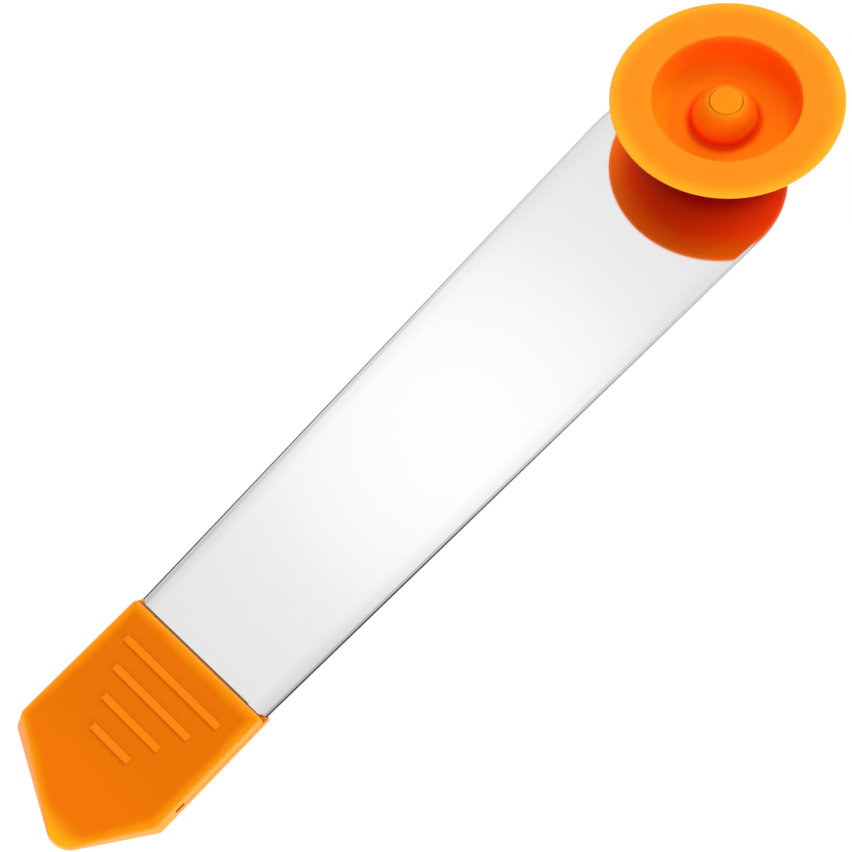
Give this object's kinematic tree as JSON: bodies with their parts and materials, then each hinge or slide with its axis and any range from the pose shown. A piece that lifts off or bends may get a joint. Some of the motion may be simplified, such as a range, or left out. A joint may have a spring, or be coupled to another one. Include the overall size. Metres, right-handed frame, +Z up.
{
  "type": "spudger tool",
  "caption": "Flat steel prying blade with a pointed, ribbed plastic pry grip at one end and a swivelling rubber suction cup standing on the rounded other end.",
  "frame": {"origin": "centre of the tool's outline on the plane that the grip and the rivet head rest on", "axes": "+X along the blade from the pry tip to the suction cup, +Y across the blade, +Z up out of the cup's mouth"},
  "size_m": [0.138, 0.03, 0.0091],
  "materials": {
    "polished_steel": "mirror-polished spring steel",
    "orange_plastic": "satin moulded orange plastic",
    "orange_rubber": "soft satin orange silicone rubber",
    "rivet_steel": "plain steel"
  },
  "bodies": {
    "tool": {"blade": "polished_steel", "grip_body": "orange_plastic", "grip_cover": "orange_plastic", "cup_rivet": "rivet_steel", "rivet_washer": "rivet_steel"},
    "cup": {"suction_cup": "orange_rubber", "cup_plug": "orange_rubber"}
  },
  "joints": [
    {"name": "cup_swivel", "type": "hinge", "parent": "tool", "child": "cup", "pos_m": [0.05398, 0, 0.00095], "axis": [0, 0, 1], "continuous": true}
  ]
}
